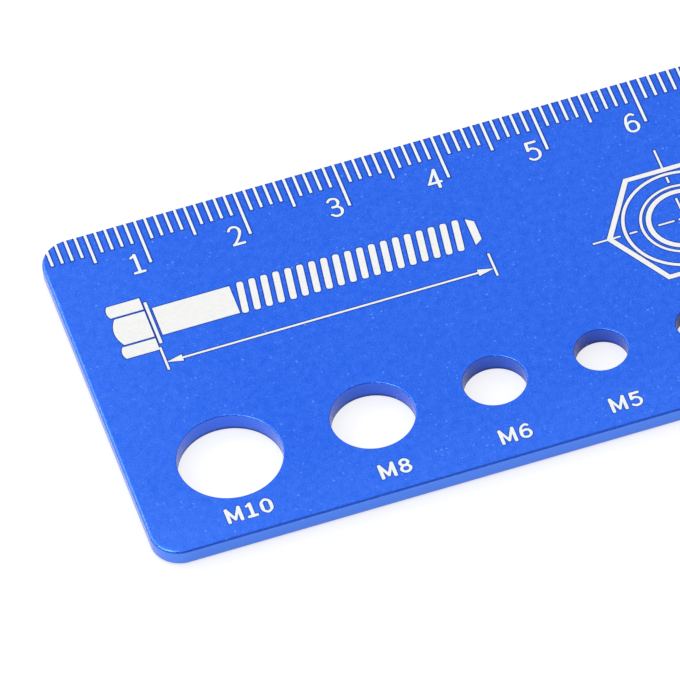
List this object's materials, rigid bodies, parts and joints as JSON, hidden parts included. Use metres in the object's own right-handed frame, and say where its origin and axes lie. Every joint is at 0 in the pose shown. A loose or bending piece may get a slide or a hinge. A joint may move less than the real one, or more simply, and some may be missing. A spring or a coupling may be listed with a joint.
{
  "type": "bolt size gauge",
  "caption": "Flat aluminium plate gauge with a row of round holes stepped down in bolt size and a millimetre scale cut along the opposite edge.",
  "frame": {"origin": "middle of the back face, on the surface that the plate lies on", "axes": "+X along the scale from its zero end, +Y from the hole side to the scale edge, +Z out of the marked face"},
  "size_m": [0.085, 0.0414, 0.002],
  "materials": {
    "anodised_aluminium": "bead-blasted and blue anodised, satin"
  },
  "bodies": {
    "root": {"gauge_plate": "anodised_aluminium"}
  },
  "joints": []
}
